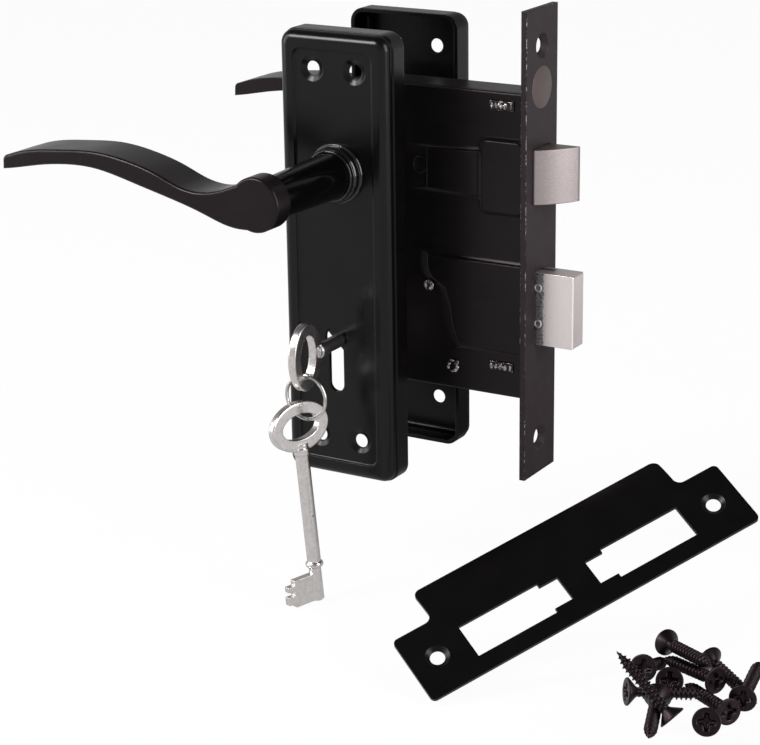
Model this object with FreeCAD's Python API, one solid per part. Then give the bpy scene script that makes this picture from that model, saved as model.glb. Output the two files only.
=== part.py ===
import FreeCAD, Part
import math
import os

os.makedirs("parts", exist_ok=True)

# Frame: X points the way the bolts throw, -Y is the side seen, Z is up.
# The origin is the centre of the forend's outer face. Sizes are in mm.
backset = 57.0
centres = 57.0
follower_z = 26.0
key_x = -backset
key_z = follower_z - centres
fit_gap = 0.05
free_gap = 0.3
skin = 0.02
over = 9.0

# Forend and its lug bars
forend_length = 159.0
forend_width = 22.0
forend_sheet = 2.0
forend_hole_spacing = 134.0
screw_hole_r = 2.4
screw_dish_r = 4.3
forend_dish_depth = 1.4
lug_length = 13.3
lug_neck = 4.5
lug_half_z = 1.5
lug_proud = 0.4
lug_below_top = 4.5
lug_above_bottom = 10.5

# Case
case_half_depth = 7.0
case_sheet = 1.2
case_above_spindle = 26.0
case_behind_spindle = 25.0
case_below_pivot = 8.0
case_corner = 15.0
case_edge_r = 0.8
pivot_drop = 13.0
pivot_z = key_z - pivot_drop
case_top = follower_z + case_above_spindle
case_bottom = pivot_z - case_below_pivot
case_rear = backset + case_behind_spindle
case_front = forend_sheet + free_gap
case_inside = case_half_depth - case_sheet
boss_r = 6.9
post_proud = 0.3
step_height = 0.9
step_edge_r = 0.5

# Latch
latch_z = follower_z - 1.5
latch_half_y = 6.2
latch_half_z = 9.1
latch_throw = 11.0
latch_back = 12.0
latch_full_back = 5.6
latch_stem_r = 1.8
latch_stem_length = 14.0
latch_post_x = key_x + 15.4
latch_post_z = latch_z + 0.3
latch_post_r = 2.9
latch_post_end_r = 1.8
pad_height = 1.2
pad_wall = 1.2
pad_x = -18.4
pad_below = 13.0
pad_above = 11.4
latch_plate_half = 1.2
arm_reach = 14.0
arm_half_x = 2.0
arm_half_y = 1.5
hub_inside_r = 9.0
latch_bar_height = 3.0
latch_bar_low = follower_z + arm_reach + 0.5
hook_x = key_x - arm_half_x - free_gap
hook_thick = 2.5
latch_spring_r = 3.3
latch_spring_wire = 0.6
return_spring_r = 2.4
return_spring_wire = 0.5
return_spring_z = follower_z - 12.0
return_stop_x = key_x + 20.7
stop_thick = 2.0

# Deadbolt, its tail and its rivets
bolt_top = key_z + 23.0
bolt_bottom = key_z - 2.0
bolt_half_y = 4.0
bolt_throw = 14.0
bolt_back = 14.0
bolt_edge = 0.4
tail_thick = 2.4
tail_front = 5.0
tail_top = key_z + 22.5
tail_low = key_z + 3.5
tail_behind_key = 8.5
rivet_r = 1.3
rivet_x = 1.0
rivet_drop = 5.2
rivet_rise = 7.4
guide_pin_x = key_x + 18.3
guide_pin_z = key_z + 14.3
guide_pin_r = 1.7
notch_front = 26.0
notch_back = 17.5
notch_low = 1.0
notch_high = 8.1
stump_x = key_x + 11.0
stump_z = key_z + 19.0
stump_r = 1.9
stump_foot_r = 1.2

# Levers and their springs
key_turn = 120.0
lever_lift = 8.0
lever_count = 3
pivot_reach = 27.7
pivot_x = key_x + pivot_reach
pivot_r = 2.2
lever_eye_r = 4.2
lever_thick = 1.5
lever_pitch = 1.8
lever_first_y = -case_inside + 0.4
gate_gap = 0.4
gate_pocket = 2.3
belly_gap = 0.55
foot_x = key_x + 20.0
foot_z = key_z + 21.2
strip = 0.7
stop_x = key_x + 7.0
stop_z = key_z + 31.0

# Key
shank_r = 2.35
key_gap = 0.25
bit_half = 1.2
bit_reaches = (9.6, 12.2, 10.0, 12.5, 9.8)
bow_y = -57.5
bow_long = 11.5
bow_short = 8.5
bow_rim = 4.0
bow_thick = 2.8
bow_edge_r = 0.5
bead_r = 2.7
nose_r = 2.1
stop_bead_r = 1.15
nose_gap = 1.4

# Plates
plate_height = 152.4
plate_width = 41.6
plate_x = key_x - 0.8
plate_z = -3.7
plate_face = -36.4
plate_rim = 11.0
plate_skirt = 4.4
plate_lap = 0.4
plate_corner_r = 5.0
crown_r = 3.2
plate_hole_x = 16.0
plate_hole_z = 126.0
plate_hole_middle = -3.0
panel_inset = 5.8
panel_corner_r = 3.0
panel_edge_r = 0.75
panel_depth = 0.8
plate_sheet = 1.4
plate_dish_depth = 0.9
keyhole_x = key_x - 1.5
keyhole_eye_r = 4.3
keyhole_half = 2.8
keyhole_drop = 15.7
mirror_y = -7.55

# Handles, collars and spindle
hub_face = -85.0
hub_depth = 7.7
hub_r = 8.9
rim_r = 0.9
neck_front_r = 6.8
neck_r = 7.8
groove_depth = 1.2
groove_y = plate_face + panel_depth + plate_sheet + 0.15
clip_thick = 1.0
clip_wide = 2.0
blade_length = 99.5
blade_depth = 17.0
collar_height = 4.5
collar_wall = 1.0
collar_flange = 2.4
spindle_side = 7.8
socket_side = 8.0
socket_floor = 6.8
grub_y = hub_face + 25.0
grub_r = 1.95
grub_length = 3.25

# Ring and spare key
ring_wire_r = 0.6
ring_mean_r = 7.5
ring_slack = 0.5
spare_back = 1.2
spare_left = 2.4
spare_drop = 24.0

# Strike plate
strike_length = 121.4
strike_low = 13.1
strike_high = 11.8
strike_sheet = 1.2
strike_corner_r = 1.8
strike_hole_x = 51.5
strike_x = 43.3
strike_y = -58.9
strike_z = -88.3
lip_half = 46.0
lip_long = 12.8
lip_bend_r = 45.0
lip_corner_r = 2.6
window_near = 11.8
window_far = 40.6
window_low = 7.2
window_high = 5.1
window_notch = 6.6
window_inset = 1.5

# Wood screws
screw_length = 25.0
screw_head_r = 4.2
screw_shank_r = 1.8
screw_rim = 0.5
screw_cone = 2.3
screw_point = 5.0
pile_x = 90.0
pile_y = -80.0
floor_z = -113.1


def vec(x, y, z):
    return FreeCAD.Vector(x, y, z)


def box(x0, x1, y0, y1, z0, z1):
    corner = vec(min(x0, x1), min(y0, y1), min(z0, z1))
    return Part.makeBox(abs(x1 - x0), abs(y1 - y0), abs(z1 - z0), corner)


def rod_x(x0, x1, y, z, radius):
    return Part.makeCylinder(radius, x1 - x0, vec(x0, y, z), vec(1, 0, 0))


def rod_y(x, z, radius, y0, y1):
    return Part.makeCylinder(radius, y1 - y0, vec(x, y0, z), vec(0, 1, 0))


def rod_z(x, y, radius, z0, z1):
    return Part.makeCylinder(radius, z1 - z0, vec(x, y, z0), vec(0, 0, 1))


def cone_y(x, z, r0, r1, y0, y1):
    return Part.makeCone(r0, r1, y1 - y0, vec(x, y0, z), vec(0, 1, 0))


def prism_y(outline, y0, y1):
    points = [vec(x, y0, z) for x, z in outline]
    return Part.Face(Part.makePolygon(points + [points[0]])).extrude(vec(0, y1 - y0, 0))


def prism_z(outline, z0, z1):
    points = [vec(x, y, z0) for x, y in outline]
    return Part.Face(Part.makePolygon(points + [points[0]])).extrude(vec(0, 0, z1 - z0))


def edges_at(shape, y):
    return [e for e in shape.Edges if abs(e.BoundBox.YMin - y) < skin and abs(e.BoundBox.YMax - y) < skin]


def rounded_y(x0, x1, z0, z1, radius, y0, y1):
    body = box(x0, x1, y0, y1, z0, z1)
    upright = [e for e in body.Edges if abs(e.tangentAt(e.FirstParameter).y) > 0.99]
    return body.makeFillet(radius, upright)


def union(shapes):
    whole = shapes[0]
    for shape in shapes[1:]:
        whole = whole.fuse(shape)
    return whole.removeSplitter()


def save(name, shape):
    shape.exportStep("parts/" + name + ".step")
    print(name, len(shape.Solids), "solids", round(shape.Volume))


def mirrored(shape):
    return shape.mirror(vec(0, mirror_y, 0), vec(0, 1, 0))


def from_key(dx, dz):
    return (key_x + dx, key_z + dz)


def lug_heights():
    return (case_top - lug_below_top, case_bottom + lug_above_bottom)


# Forend: drilled and dished strip, two bolt openings, two lug bars that the case is staked to
def forend_plate():
    half_y = forend_width / 2
    half_z = forend_length / 2
    plate = box(-forend_sheet, 0, -half_y, half_y, -half_z, half_z)
    cuts = []
    for side in (-1, 1):
        z = side * forend_hole_spacing / 2
        cuts.append(rod_x(-forend_sheet - over, over, 0, z, screw_hole_r))
        cuts.append(Part.makeCone(screw_hole_r, screw_dish_r, forend_dish_depth, vec(-forend_dish_depth,
                                                                                     0, z),
                                  vec(1, 0, 0)))
        cuts.append(rod_x(-skin, over, 0, z, screw_dish_r))
    gap = free_gap
    cuts.append(box(-over, over, -latch_half_y - gap, latch_half_y + gap,
                    latch_z - latch_half_z - gap, latch_z + latch_half_z + gap))
    cuts.append(box(-over, over, -bolt_half_y - gap, bolt_half_y + gap, bolt_bottom - gap, bolt_top + gap))
    parts = [plate.cut(union(cuts))]
    reach = -forend_sheet - lug_length
    inside = case_inside - 2 * fit_gap
    for z in lug_heights():
        parts.append(box(reach, -forend_sheet, -inside, inside, z - lug_half_z, z + lug_half_z))
        parts.append(box(reach, -forend_sheet - lug_neck, -case_half_depth - lug_proud, 0, z - lug_half_z,
                         z + lug_half_z))
    return union(parts)


# Outline of the case with its two cut corners, grown by a given amount
def case_outline(grow):
    top = case_top + grow
    bottom = case_bottom - grow
    rear = case_rear + grow
    cut = case_corner + grow * (2 - math.sqrt(2))
    return [(-case_front, top), (-rear + cut, top), (-rear, top - cut),
            (-rear, bottom + cut), (-rear + cut, bottom), (-case_front, bottom)]


# Bodies that pass through both cheeks of the case
def cheek_holes(y0, y1):
    holes = [rod_y(key_x, follower_z, boss_r + 2 * fit_gap, y0, y1)]
    holes.append(rod_y(latch_post_x, latch_post_z, latch_post_end_r + fit_gap, y0, y1))
    holes.append(rod_y(guide_pin_x, guide_pin_z, guide_pin_r + fit_gap, y0, y1))
    holes.append(rod_y(pivot_x, pivot_z, pivot_r + fit_gap, y0, y1))
    holes.append(rod_y(key_x, key_z, shank_r + key_gap, y0, y1))
    side = bit_half + free_gap
    reach = max(bit_reaches) + gate_gap
    holes.append(box(key_x - side, key_x + side, y0, y1, key_z - reach, key_z))
    return holes


# Room in a cheek for the latch head, raised as an embossed pad outside
def latch_pad(side):
    low = latch_z - pad_below
    high = latch_z + pad_above
    outside = side * (case_half_depth + pad_height)
    pad = rounded_y(pad_x, -case_front - case_edge_r, low, high, 2 * pad_wall, side * case_half_depth,
                    outside)
    pad = pad.makeFillet(step_edge_r, edges_at(pad, outside))
    inner = side * (case_half_depth + pad_height - pad_wall)
    pocket = rounded_y(pad_x + pad_wall, over, low + pad_wall, high - pad_wall, pad_wall,
                       side * (case_inside - 1), inner)
    return pad, pocket


# Rear cheek with its walls, drawn from one sheet
def case_tray():
    outer = prism_y(case_outline(0), -case_inside + free_gap, case_half_depth)
    rim = [e for e in edges_at(outer, case_half_depth) if e.CenterOfMass.x < -case_front - skin]
    outer = outer.makeFillet(case_edge_r, rim)
    inner = prism_y(case_outline(-case_sheet), -case_half_depth, case_inside)
    mouth = box(-case_front - over / 2, over, -case_half_depth, case_inside, case_bottom + case_sheet,
                case_top - case_sheet)
    pad, pocket = latch_pad(1)
    shell = outer.fuse(pad).cut(inner.fuse(mouth)).cut(pocket)
    # Pressed lugs inside: seat of the follower spring and stop of the lever springs
    seat = box(return_stop_x, return_stop_x + stop_thick, -return_spring_r, case_inside + skin,
               return_spring_z - 1.2 * return_spring_r, return_spring_z + 1.2 * return_spring_r)
    stop = box(stop_x - stop_thick / 2, stop_x + stop_thick / 2, -case_inside + free_gap, case_inside + skin,
               stop_z, stop_z + stop_thick)
    shell = shell.fuse(seat).fuse(stop)
    return shell.cut(union(cheek_holes(case_inside - 1, case_half_depth + over))).removeSplitter()


# Raised field pressed in the cap, its face edges rounded
def pressed_field(outline):
    face = -case_half_depth - step_height
    field = prism_y(outline, face, -case_half_depth + case_sheet / 2)
    return field.makeFillet(step_edge_r, edges_at(field, face))


# Flat cap with its pressed fields, on the side that is seen
def case_cap():
    face = -case_half_depth
    plate = prism_y(case_outline(0), face, -case_inside)
    rim = [e for e in edges_at(plate, face) if e.CenterOfMass.x < -case_front - skin]
    plate = plate.makeFillet(case_edge_r, rim)
    pad, pocket = latch_pad(-1)
    left = latch_post_x + 2.5
    right = -case_front - case_edge_r
    band = pressed_field([(pad_x + pad_wall, latch_z - 8.1), (pad_x + pad_wall, latch_z + 7.5),
                          (left, latch_z + 6.4), (left, latch_z - 7.3)])
    line = key_z + 25.4
    floor = key_z - 5.3
    step = pressed_field([(right, line), (left, line), (left, line - 5.4), (left + 1.9, line - 8.4),
                          (left + 6.6, line - 11.2), (left + 8.5, line - 17.4), (left + 9.7, line - 24.4),
                          (left + 11.9, floor + 1.2), (left + 15.6, floor + 0.3), (left + 21.1, floor),
                          (right, floor)])
    shell = plate.fuse(band).fuse(step).fuse(pad).cut(pocket)
    cuts = cheek_holes(face - over, -case_inside + 1)
    for z in lug_heights():
        cuts.append(box(-forend_sheet - lug_length - 2 * fit_gap, -forend_sheet - lug_neck + 2 * fit_gap,
                        face - over, -case_inside + 1, z - lug_half_z - 2 * fit_gap, z + lug_half_z + 2 * fit_gap))
    return shell.cut(union(cuts)).removeSplitter()


# Post with a thick middle between the cheeks and peened ends through them
def cheek_post(x, z, middle_r, end_r):
    middle = rod_y(x, z, middle_r, -case_inside + fit_gap, case_inside - fit_gap)
    ends = rod_y(x, z, end_r, -case_half_depth - post_proud, case_half_depth + post_proud)
    return union([middle, ends])


# Latch head with its curved bevel, rear stem and the slot of its tail
def latch_head():
    half = latch_half_y
    thin = case_inside - free_gap
    low = latch_z - latch_half_z
    high = latch_z + latch_half_z
    a = vec(0.055 * latch_throw, -half, low)
    b = vec(0.6 * latch_throw, -0.16 * half, low)
    c = vec(0.98 * latch_throw, 0.84 * half, low)
    nose = vec(latch_throw, half, low)
    back_low = vec(-latch_full_back, half, low)
    back_high = vec(-latch_full_back, -half, low)
    edges = [Part.Arc(a, b, c).toShape(), Part.makeLine(c, nose), Part.makeLine(nose, back_low),
             Part.makeLine(back_low, back_high), Part.makeLine(back_high, a)]
    head = Part.Face(Part.Wire(edges)).extrude(vec(0, 0, 2 * latch_half_z))
    rear = box(-latch_back, -latch_full_back + free_gap, -thin, thin, low, high)
    stem = rod_x(-latch_back - latch_stem_length, -latch_back, 0, latch_z, latch_stem_r)
    side = latch_plate_half + fit_gap
    slot = box(-latch_back + 0.4, -latch_full_back - free_gap, -side, side, latch_z + 1.5, high + over)
    return union([head, rear, stem]).cut(slot)


# Tail plate: riser from the head, long bar and the hook that the follower pulls
def latch_tail():
    half = latch_plate_half
    top = latch_bar_low + latch_bar_height
    front = -latch_full_back - 0.4
    riser = box(-latch_back + 0.5, front, -half, half, latch_z + 1.6, top)
    bar = box(hook_x - hook_thick, front, -half, half, latch_bar_low, top)
    hook = box(hook_x - hook_thick, hook_x, -half, half, top - 7.5, top)
    return union([riser, bar, hook])


# Coil spring standing along X, plain inside the case
def plain_spring(x0, x1, z, outer_r, wire):
    return rod_x(x0, x1, 0, z, outer_r).cut(rod_x(x0 - over, x1 + over, 0, z, outer_r - wire))


def follower():
    hub = rod_y(key_x, follower_z, hub_inside_r, -case_inside + free_gap, case_inside - free_gap)
    boss = rod_y(key_x, follower_z, boss_r, -case_half_depth - lug_proud, case_half_depth + lug_proud)
    arm = box(key_x - arm_half_x, key_x + arm_half_x, -arm_half_y, arm_half_y, follower_z - arm_reach,
              follower_z + arm_reach)
    half = socket_side / 2
    hole = box(key_x - half, key_x + half, -2 * case_half_depth, 2 * case_half_depth, follower_z - half,
               follower_z + half)
    return union([hub, boss, arm]).cut(hole)


def bolt_rivet_rods(grow):
    reach = bolt_half_y + fit_gap
    heights = (bolt_top - rivet_drop, bolt_bottom + rivet_rise)
    return [rod_y(rivet_x, z, rivet_r + grow, -reach, reach) for z in heights]


def deadbolt_head():
    head = box(-bolt_back, bolt_throw, -bolt_half_y, bolt_half_y, bolt_bottom, bolt_top)
    ends = [e for e in head.Edges if abs(e.CenterOfMass.x - bolt_throw) < skin]
    head = head.makeChamfer(bolt_edge, ends)
    slot = box(-bolt_back - over, tail_front + skin, -skin, tail_thick + skin, bolt_bottom - over,
               bolt_top + over)
    return head.cut(slot).cut(union(bolt_rivet_rods(skin)))


# Angle of a lever when the key stands at a given angle
def lever_angle(key_angle):
    return lever_lift * key_angle / key_turn


# Point of the case seen in the frame of a lever that is lifted
def in_lever(x, z, key_angle):
    a = math.radians(lever_angle(key_angle))
    dx = x - pivot_x
    dz = z - pivot_z
    return (pivot_x + dx * math.cos(a) - dz * math.sin(a), pivot_z + dx * math.sin(a) + dz * math.cos(a))


# Tip of the key's bit at a given angle and radius from the key's axis
def bit_point(radius, key_angle):
    a = math.radians(key_angle)
    return from_key(radius * math.sin(a), -radius * math.cos(a))


# Tail of the deadbolt: guide slot and the notch that the bit pulls on
def bolt_tail():
    head_part = box(-bolt_back, tail_front, 0, tail_thick, bolt_bottom, bolt_top)
    bar = box(key_x - tail_behind_key, -bolt_back, 0, tail_thick, tail_low, tail_top)
    slot_r = guide_pin_r + 2 * fit_gap
    y0 = -over
    y1 = over
    slot = rod_y(guide_pin_x, guide_pin_z, slot_r, y0, y1)
    slot = slot.fuse(rod_y(guide_pin_x + bolt_throw, guide_pin_z, slot_r, y0, y1))
    slot = slot.fuse(box(guide_pin_x, guide_pin_x + bolt_throw, y0, y1, guide_pin_z - slot_r,
                         guide_pin_z + slot_r))
    notch = box(key_x + notch_back, key_x + notch_front, y0, y1, key_z + notch_low, key_z + notch_high)
    hole = rod_y(stump_x, stump_z, stump_foot_r + skin, y0, y1)
    tail = union([head_part, bar]).cut(union([slot, notch, hole]))
    return tail.cut(union(bolt_rivet_rods(skin)))


# Stump that stands through the gates of all levers, its foot riveted in the bolt's tail
def stump():
    post = rod_y(stump_x, stump_z, stump_r, -case_inside + free_gap, -skin)
    foot = rod_y(stump_x, stump_z, stump_foot_r, -2 * fit_gap, tail_thick + 2 * fit_gap)
    return union([post, foot])


# One detainer lever: belly cut by its own step of the bit, and the gate that lets the stump pass
def lever(index):
    y0 = lever_first_y + index * lever_pitch
    y1 = y0 + lever_thick
    cut0 = y0 - lever_thick
    cut1 = y1 + lever_thick
    outline = [(1.10, -0.36), (0.83, 0.11), (0.812, 0.809), (0.36, 0.838), (-0.455, 0.68), (-0.455, 0.375),
               (-0.18, 0.22), (0.343, -0.415), (0.94, -0.607)]
    body = prism_y([from_key(u * pivot_reach, v * pivot_reach) for u, v in outline], y0, y1)
    body = body.fuse(rod_y(pivot_x, pivot_z, lever_eye_r, y0, y1))
    radius = bit_reaches[index] + belly_gap
    belly = []
    for k in range(2, 13):
        key_angle = key_turn * k / 12.0
        x, z = bit_point(radius, key_angle + 7)
        belly.append(in_lever(x, z, key_angle))
    belly.append((key_x - 0.2 * pivot_reach, belly[-1][1]))
    belly.append(from_key(-0.2 * pivot_reach, -0.76 * pivot_reach))
    belly.append(from_key(0.29 * pivot_reach, -0.76 * pivot_reach))
    path = [in_lever(stump_x - bolt_throw * k / 8.0, stump_z, key_turn * k / 8.0) for k in range(9)]
    half = stump_r + gate_gap
    path = [(path[0][0] + half, path[0][1])] + path + [(path[-1][0] - half, path[-1][1])]
    gate = prism_y([(x, z + half) for x, z in path] + [(x, z - half) for x, z in reversed(path)], cut0, cut1)
    cuts = [prism_y(belly, cut0, cut1), gate]
    tall = gate_pocket + free_gap
    for x, z in (path[1], path[-2]):
        cuts.append(box(x - gate_pocket, x + gate_pocket, cut0, cut1, z - tall, z + tall))
    cuts.append(rod_y(pivot_x, pivot_z, pivot_r + 0.08, cut0, cut1))
    for k in range(7):
        x, z = in_lever(guide_pin_x, guide_pin_z, key_turn * k / 6.0)
        cuts.append(rod_y(x, z, guide_pin_r + gate_gap, cut0, cut1))
    cuts.append(box(foot_x - strip / 2 - fit_gap, foot_x + strip / 2 + fit_gap, cut0, cut1,
                    foot_z - fit_gap * 2,
                    foot_z + 4 * strip))
    return body.cut(union(cuts))


# Bent strip that presses a lever down from the stop under the latch
def lever_spring(index):
    y0 = lever_first_y + index * lever_pitch + free_gap / 2
    y1 = y0 + lever_thick - free_gap
    left = foot_x - strip / 2
    right = foot_x + strip / 2
    top = stop_z - fit_gap
    end = stop_x - 0.1 * stop_thick
    outline = [(left, foot_z), (right, foot_z), (right, foot_z + 6.2), (end + 0.4, top), (end, top),
               (end, top - 0.8 * strip), (left, foot_z + 5.6)]
    return prism_y(outline, y0, y1)


# Keyhole of a plate: round eye and slot down to a round bottom
def plate_keyhole(y0, y1):
    low = key_z - keyhole_drop
    eye = rod_y(keyhole_x, key_z, keyhole_eye_r, y0, y1)
    slot = box(keyhole_x - keyhole_half, keyhole_x + keyhole_half, y0, y1, low, key_z)
    return [eye, slot, rod_y(keyhole_x, low, keyhole_half, y0, y1)]


# Pressed plate: rounded shoulder, lapped skirt, sunk panel and four dished screw holes
def front_plate():
    x0 = plate_x - plate_width / 2
    x1 = plate_x + plate_width / 2
    z0 = plate_z - plate_height / 2
    z1 = plate_z + plate_height / 2
    back = plate_face + plate_rim
    panel_y = plate_face + panel_depth
    behind = panel_y + plate_sheet
    lap = plate_lap
    skirt = rounded_y(x0, x1, z0, z1, plate_corner_r, plate_face + plate_skirt, back)
    crown = rounded_y(x0 + lap, x1 - lap, z0 + lap, z1 - lap, plate_corner_r - lap, plate_face,
                      plate_face + plate_skirt + skin)
    crown = crown.makeFillet(crown_r, edges_at(crown, plate_face))
    wall = plate_sheet
    inside = rounded_y(x0 + wall, x1 - wall, z0 + wall, z1 - wall, plate_corner_r - wall, behind, back + over)
    inside = inside.makeFillet(crown_r / 2, edges_at(inside, behind))
    inset = panel_inset
    panel = rounded_y(x0 + inset, x1 - inset, z0 + inset, z1 - inset, panel_corner_r, plate_face - over,
                      panel_y)
    panel = panel.makeFillet(panel_edge_r, edges_at(panel, panel_y))
    y0 = plate_face - over
    y1 = back + over
    cuts = [inside, panel, rod_y(key_x, follower_z, neck_r + collar_wall + fit_gap, y0, y1)]
    cuts = cuts + plate_keyhole(y0, y1)
    for side_x in (-1, 1):
        for side_z in (-1, 1):
            x = plate_x + side_x * plate_hole_x / 2
            z = plate_hole_middle + side_z * plate_hole_z / 2
            cuts.append(rod_y(x, z, screw_hole_r, y0, y1))
            cuts.append(cone_y(x, z, screw_dish_r, screw_hole_r + free_gap, panel_y - skin,
                               panel_y + plate_dish_depth))
    shell = skirt.fuse(crown)
    for cut in cuts:
        shell = shell.cut(cut)
    return shell.removeSplitter()


# Turned collar: flange on the panel, two stepped rings and a spigot through the plate
def front_collar():
    floor = plate_face + panel_depth
    back = floor + plate_sheet
    top = plate_face - collar_height
    bore = neck_r + 2 * fit_gap
    outer = neck_r + collar_wall
    rim = neck_r + collar_flange
    profile = [(bore, back), (bore, top), (outer - 0.4, top), (outer - 0.1, top + 0.3), (outer, top + 1.5),
               (outer + 0.35, top + 1.9), (outer + 0.6, top + 2.3), (outer + 0.6, floor - 1.1),
               (rim - 0.3, floor - 1.0), (rim, floor - 0.6), (rim, floor), (outer, floor), (outer, back)]
    points = [vec(key_x + r, y, follower_z) for r, y in profile]
    face = Part.Face(Part.makePolygon(points + [points[0]]))
    return face.revolve(vec(key_x, 0, follower_z), vec(0, 1, 0), 360)


# Front outline of the waved blade, as shares of its length from the spindle's axis
blade_top = [(0.045, 0.070), (0.0, 0.075), (-0.108, 0.042), (-0.194, 0.020), (-0.278, 0.026), (-0.367, 0.059),
             (-0.487, 0.092), (-0.618, 0.108), (-0.770, 0.100), (-0.921, 0.080), (-0.979, 0.062)]
blade_low = [(-1.0, 0.012), (-0.955, 0.019), (-0.840, 0.041), (-0.773, 0.050), (-0.622, 0.052), (-0.467,
                                                                                                 0.020),
             (-0.328, -0.014), (-0.197, -0.051), (-0.091, -0.082), (-0.027, -0.084), (0.045, -0.070)]
# Depth of the blade behind its front face, as shares of length and of full depth
blade_back = [(-0.06, 0.453), (-0.12, 0.55), (-0.18, 0.76), (-0.25, 0.89), (-0.40, 0.93), (-0.60, 0.97),
              (-0.80, 1.0), (-1.10, 1.0)]


def spline(points):
    curve = Part.BSplineCurve()
    curve.interpolate(points)
    return curve.toShape()


def blade_shape():
    def front(share):
        return vec(key_x + share[0] * blade_length, hub_face, follower_z + share[1] * blade_length)
    corner = front((-0.995, 0.053))
    tip_high = front((-0.9985, 0.040))
    tip = Part.Arc(front(blade_top[-1]), corner, tip_high).toShape()
    edges = [spline([front(p) for p in blade_top]), tip, Part.makeLine(tip_high, front(blade_low[0])),
             spline([front(p) for p in blade_low]), Part.makeLine(front(blade_low[-1]), front(blade_top[0]))]
    blade = Part.Face(Part.Wire(edges)).extrude(vec(0, blade_depth + over, 0))

    def plan(x, y):
        return vec(key_x + x, hub_face + y, follower_z - 3 * over)
    rear = [plan(u * blade_length, v * blade_depth) for u, v in blade_back]
    right = 0.13 * blade_length
    sides = [plan(rear[-1].x - key_x, -over), plan(right, -over), plan(right, rear[0].y - hub_face), rear[0]]
    outline = Part.Wire([spline(rear), Part.makePolygon([rear[-1]] + sides)])
    return blade.common(Part.Face(outline).extrude(vec(0, 0, 6 * over)))


# Lever handle: waved blade, hub, tapered neck with its groove and square socket
def front_lever():
    back_y = hub_face + hub_depth
    hub = rod_y(key_x, follower_z, hub_r, hub_face, back_y)
    neck_end = plate_face - collar_height - 2 * fit_gap
    neck = cone_y(key_x, follower_z, neck_front_r, neck_r, back_y - skin, neck_end)
    journal = rod_y(key_x, follower_z, neck_r, neck_end, groove_y + clip_thick + 1.5)
    body = union([hub, blade_shape(), neck, journal])
    body = body.makeFillet(rim_r, edges_at(body, hub_face))
    groove = rod_y(key_x, follower_z, 2 * neck_r, groove_y, groove_y + clip_thick + 2 * fit_gap)
    groove = groove.cut(rod_y(key_x, follower_z, neck_r - groove_depth, groove_y - over, groove_y + over))
    half = socket_side / 2
    socket = box(key_x - half, key_x + half, hub_face + socket_floor, plate_face + 2 * over,
                 follower_z - half,
                 follower_z + half)
    thread = rod_z(key_x, grub_y, grub_r + fit_gap, follower_z - 2 * neck_r, follower_z)
    return body.cut(groove).cut(socket).cut(thread)


def spindle():
    half = spindle_side / 2
    front = hub_face + socket_floor + 0.2
    return box(key_x - half, key_x + half, front, 2 * mirror_y - front, follower_z - half, follower_z + half)


# Snap ring behind the plate, one for each handle
def circlip():
    inner = neck_r - groove_depth + fit_gap
    y0 = groove_y + fit_gap
    ring = rod_y(key_x, follower_z, neck_r + clip_wide, y0, y0 + clip_thick)
    ring = ring.cut(rod_y(key_x, follower_z, inner, y0 - over, y0 + over))
    reach = 2 * neck_r
    mouth = prism_y([(key_x, follower_z), (key_x - reach / 2, follower_z - reach),
                     (key_x + reach / 2, follower_z - reach)], y0 - over, y0 + over)
    return ring.cut(mouth)


# Set screw that clamps the handle on the square bar, with its hexagon socket
def grub_screw():
    low = follower_z - socket_side / 2 - grub_length
    screw = rod_z(key_x, grub_y, grub_r, low, low + grub_length - fit_gap)
    corners = []
    for k in range(6):
        a = math.radians(60 * k)
        corners.append((key_x + 0.56 * grub_r * math.cos(a), grub_y + 0.56 * grub_r * math.sin(a)))
    return screw.cut(prism_z(corners, low - over, low + 0.45 * grub_length))


def oval(long_r, short_r, x0, x1):
    ellipse = Part.Ellipse(vec(x0, 0, 0), long_r, short_r)
    ellipse.Axis = vec(1, 0, 0)
    ellipse.XAxis = vec(0, 0, 1)
    return Part.Face(Part.Wire(ellipse.toShape())).extrude(vec(x1 - x0, 0, 0))


# Key in its own frame: bow centre at the origin, shank along +Y, bit down
def key_shape():
    half = bow_thick / 2
    bow = oval(bow_long, bow_short, -half, half)
    bow = bow.makeFillet(bow_edge_r, [e for e in bow.Edges if e.BoundBox.XLength < skin])
    bow = bow.cut(oval(bow_long - bow_rim, bow_short - bow_rim, -2 * half, 2 * half))
    key_end = case_inside - nose_gap - bow_y
    shoulder = -case_half_depth - bow_y - 1.6
    shank = rod_y(0, 0, shank_r, bow_short - 0.6 * bow_rim, shoulder + stop_bead_r)
    nose = rod_y(0, 0, nose_r, shoulder, key_end)
    nose = nose.makeChamfer(bow_edge_r, [e for e in nose.Edges if e.BoundBox.YMin > key_end - skin])
    neck_bead = rod_y(0, 0, bead_r, bow_short - 1, bow_short + 1.2)
    stop_bead = Part.makeTorus(shank_r - 0.45, stop_bead_r, vec(0, shoulder, 0), vec(0, 1, 0))
    core = rod_y(0, 0, shank_r - 0.45, shoulder - stop_bead_r, shoulder + stop_bead_r)
    parts = [bow, shank, nose, neck_bead, stop_bead, core]
    start = lever_first_y - free_gap / 2 - bow_y
    walls = [start + lever_pitch * k for k in range(lever_count + 1)]
    walls.append(tail_thick + free_gap / 2 - bow_y)
    walls.append(key_end - bow_edge_r)
    for k in range(len(bit_reaches)):
        parts.append(box(-bit_half, bit_half, walls[k], walls[k + 1], -bit_reaches[k], -nose_r / 2))
    return union(parts)


def axes(x_axis, y_axis, z_axis, origin):
    matrix = FreeCAD.Matrix(x_axis.x, y_axis.x, z_axis.x, origin.x,
                            x_axis.y, y_axis.y, z_axis.y, origin.y,
                            x_axis.z, y_axis.z, z_axis.z, origin.z, 0, 0, 0, 1)
    return FreeCAD.Placement(matrix)


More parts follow.
